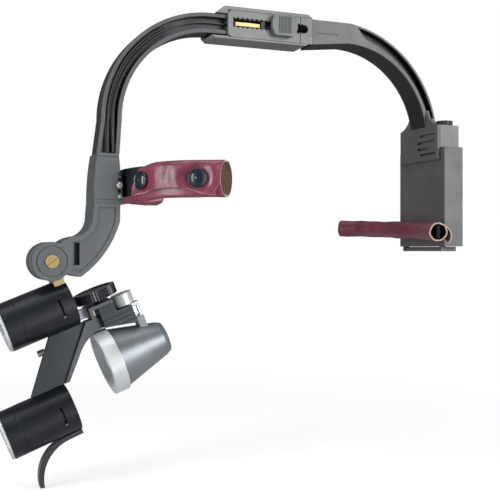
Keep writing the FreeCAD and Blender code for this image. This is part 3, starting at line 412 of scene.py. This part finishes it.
def brow_sleeve(side):
    along, around = 120, 90
    end = BROW["near_end"] if side > 0 else BROW["far_end"]
    lift = 0 if side > 0 else BROW["far_lift"]
    rows = []
    for i in range(along + 1):
        u = i / along
        row = []
        for j, (out, up) in enumerate(through(brow_section(u), around)):
            v = j / around
            outside = 1 - smoothstep(0.24, 0.36, v)
            bow = math.sqrt(max(0, 1 - (up / 10.8) ** 2))
            oval = 0.5 + (0.5 if out > -1.5 else -0.5) * bow
            corner = 4.2 * smoothstep(1.5, 9.5, -up) * (1 - smoothstep(0.14, 0.2, v))
            shorter = (6.4 * oval + corner) * smoothstep(0.5, 1, u)
            later = (1 - smoothstep(0, 0.3, u)) * (1.2 + 4.2 * smoothstep(-4, 9, up))
            phi = BROW["start"] + (end - BROW["start"]) * u - shorter + later
            nearest = min(math.hypot((phi - snap) * math.radians(1) * BROW["r"], up)
                          for snap in BROW["snap_angles"])
            clear = smoothstep(6, 9.5, nearest)
            puff = 1.3 * smoothstep(6, 13, nearest) * outside * (1 - smoothstep(0.9, 1, u))
            pressed = 0.85 * (1 - clear) * outside
            cloud = noise.noise(Vector((u * 5.5, v * 7.0, 3.1 * side)))
            ripple = noise.noise(Vector((u * 17, v * 6, 9.0 * side))) * 0.22
            reach = BROW["r"] + out + puff - pressed + (0.38 * cloud + ripple) * outside * clear
            turn = math.radians(side * phi)
            row.append(Vector((BROW["centre_x"] - reach * math.cos(turn), -reach * math.sin(turn),
                               BROW["z"] + lift + up + 0.3 * cloud)) * MM)
        rows.append(row)
    name = "brow_hide_left" if side > 0 else "brow_hide_right"
    facing_out = rows if side > 0 else [row[::-1] for row in rows]
    sleeve = hide_piece(name, facing_out, BROW["hide"] * MM, "brow_band")
    places = []
    for snap in BROW["snap_angles"]:
        turn = math.radians(side * snap)
        out = Vector((-math.cos(turn), -math.sin(turn), 0))
        seat = (Vector((BROW["centre_x"], 0, BROW["z"])) + out * (BROW["r"] + SNAP_SEAT)) * MM
        places.append(Matrix.Translation(seat) @ out.to_track_quat("Z", "Y").to_matrix().to_4x4())
    profile = [(0.02, 2.3), (1.7, 2.25), (3.2, 1.98), (4.2, 1.5), (4.5, 1.28), (4.7, 1.26), (4.95, 1.5),
               (5.25, 1.58), (5.55, 1.46), (5.75, 1.1), (5.8, 0.6), (5.7, 0.1), (4.4, -0.4), (0.02, -0.4)]
    caps = turned(name.replace("hide", "snap_caps"), [(r * MM, h * MM) for r, h in profile], places,
                  MATERIALS["snap_black"], "brow_band")
    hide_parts("brow_leather")
    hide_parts("brow_snaps")


brow_sleeve(1)
brow_sleeve(-1)


# ---------------------------------------------------------------- nape leather
def nape_roll():
    along, around = 150, 96
    tilt = Matrix.Rotation(math.radians(NAPE["roll"]), 3, "X")
    rows = []
    for i in range(along + 1):
        u = i / along
        alpha = math.radians(NAPE["half_angle"] * (2 * u - 1))
        near = 1 - smoothstep(0, 0.12, u)
        row = []
        for j in range(around + 1):
            v = j / around
            theta = math.radians(-48) + math.tau * 1.24 * v
            flap = 1 - smoothstep(0, 0.27, v)
            reach = 5.35 + 1.25 * flap + 3.1 * near * flap ** 1.4
            fold = noise.noise(Vector((u * 13, math.cos(theta) * 1.3, math.sin(theta) * 1.3)))
            wave = noise.noise(Vector((u * 42, math.cos(theta) * 0.8, 4 + math.sin(theta) * 0.8)))
            reach += 0.45 * fold + 0.12 * wave
            out, up = reach * math.cos(theta), 1.05 * reach * math.sin(theta)
            spot = Vector(((NAPE["r"] + out) * math.cos(alpha), (NAPE["r"] + out) * math.sin(alpha), up))
            row.append((tilt @ spot + Vector((NAPE["centre_x"], 0, NAPE["z"]))) * MM)
        rows.append(row)
    roll = hide_piece("nape_hide", rows, NAPE["hide"] * MM, "rear_frame")
    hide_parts("nape_leather")


nape_roll()


# ---------------------------------------------------------------- stage, camera, lights
def floor():
    n = Nodes("pale_floor")
    tone = n.noise(3)
    n.link(n.ramp(tone, (0.3, (0.84, 0.84, 0.85, 1)), (0.7, (0.88, 0.88, 0.88, 1))), "Base Color")
    n.link(n.spread(tone, 0.6, 0.7), "Roughness")
    from_middle = n.add("ShaderNodeVectorMath", {0: n.where, 1: (-0.1, 0, 0)}, operation="DISTANCE")
    fade = n.add("ShaderNodeMapRange",
                 {"Value": from_middle.outputs["Value"], "From Min": FADE_START, "From Max": FADE_END,
                  "To Min": FLOOR_OPACITY, "To Max": 0.0}, interpolation_type="SMOOTHSTEP")
    n.link(fade.outputs[0], "Alpha")
    n.shader.inputs["Emission Color"].default_value = (1, 1, 1, 1)
    n.shader.inputs["Emission Strength"].default_value = FLOOR_GLOW
    mesh = bpy.data.meshes.new("floor")
    far = FLOOR_REACH
    level = cad_low[2] - FLOOR_GAP
    mesh.from_pydata([(-far, -far, level), (far, -far, level), (far, far, level), (-far, far, level)],
                     [], [(0, 1, 2, 3)])
    mesh.materials.append(n.material)
    piece = bpy.data.objects.new("floor", mesh)
    bpy.context.scene.collection.objects.link(piece)


def softbox(name, spot, target, width, height, power, spread=180):
    data = bpy.data.lights.new(name, "AREA")
    data.shape = "RECTANGLE"
    data.size, data.size_y, data.energy = width, height, power
    data.spread = math.radians(spread)
    lamp = bpy.data.objects.new(name, data)
    lamp.location = spot
    lamp.rotation_euler = (Vector(target) - Vector(spot)).to_track_quat("-Z", "Y").to_euler()
    bpy.context.scene.collection.objects.link(lamp)


floor()
softbox("key_box", (0.75, -1.3, 0.35), (0, 0, 0.03), 0.8, 0.8, 22)
softbox("front_strip", (-0.42, -0.14, 0.07), (-0.09, -0.03, 0.03), 0.07, 0.34, 1.3)
softbox("top_box", (-0.1, -0.1, 1.0), (0, 0, 0), 0.8, 0.8, 5)
softbox("low_box", (0.34, -0.75, -0.22), (-0.11, 0, -0.07), 0.3, 0.3, 0.1, spread=24)

scene = bpy.context.scene
world = bpy.data.worlds.new("studio")
scene.world = world
world.use_nodes = True
tree = world.node_tree
tree.nodes.clear()
seen = tree.nodes.new("ShaderNodeBackground")
seen.inputs["Strength"].default_value = 1.0
fill = tree.nodes.new("ShaderNodeBackground")
fill.inputs["Strength"].default_value = FILL_STRENGTH
for background in (seen, fill):
    background.inputs["Color"].default_value = (1, 1, 1, 1)
ray = tree.nodes.new("ShaderNodeLightPath")
choose = tree.nodes.new("ShaderNodeMixShader")
surface = tree.nodes.new("ShaderNodeOutputWorld")
tree.links.new(ray.outputs["Is Camera Ray"], choose.inputs[0])
tree.links.new(fill.outputs[0], choose.inputs[1])
tree.links.new(seen.outputs[0], choose.inputs[2])
tree.links.new(choose.outputs[0], surface.inputs[0])
scene.view_settings.view_transform = "Standard"

lens = bpy.data.cameras.new("camera")
lens.sensor_width = SENSOR
lens.lens = LENS
camera = bpy.data.objects.new("camera", lens)
camera.location = CAMERA_AT
camera.rotation_euler = Vector(CAMERA_AIM).to_track_quat("-Z", "Y").to_euler()
scene.collection.objects.link(camera)
scene.camera = camera
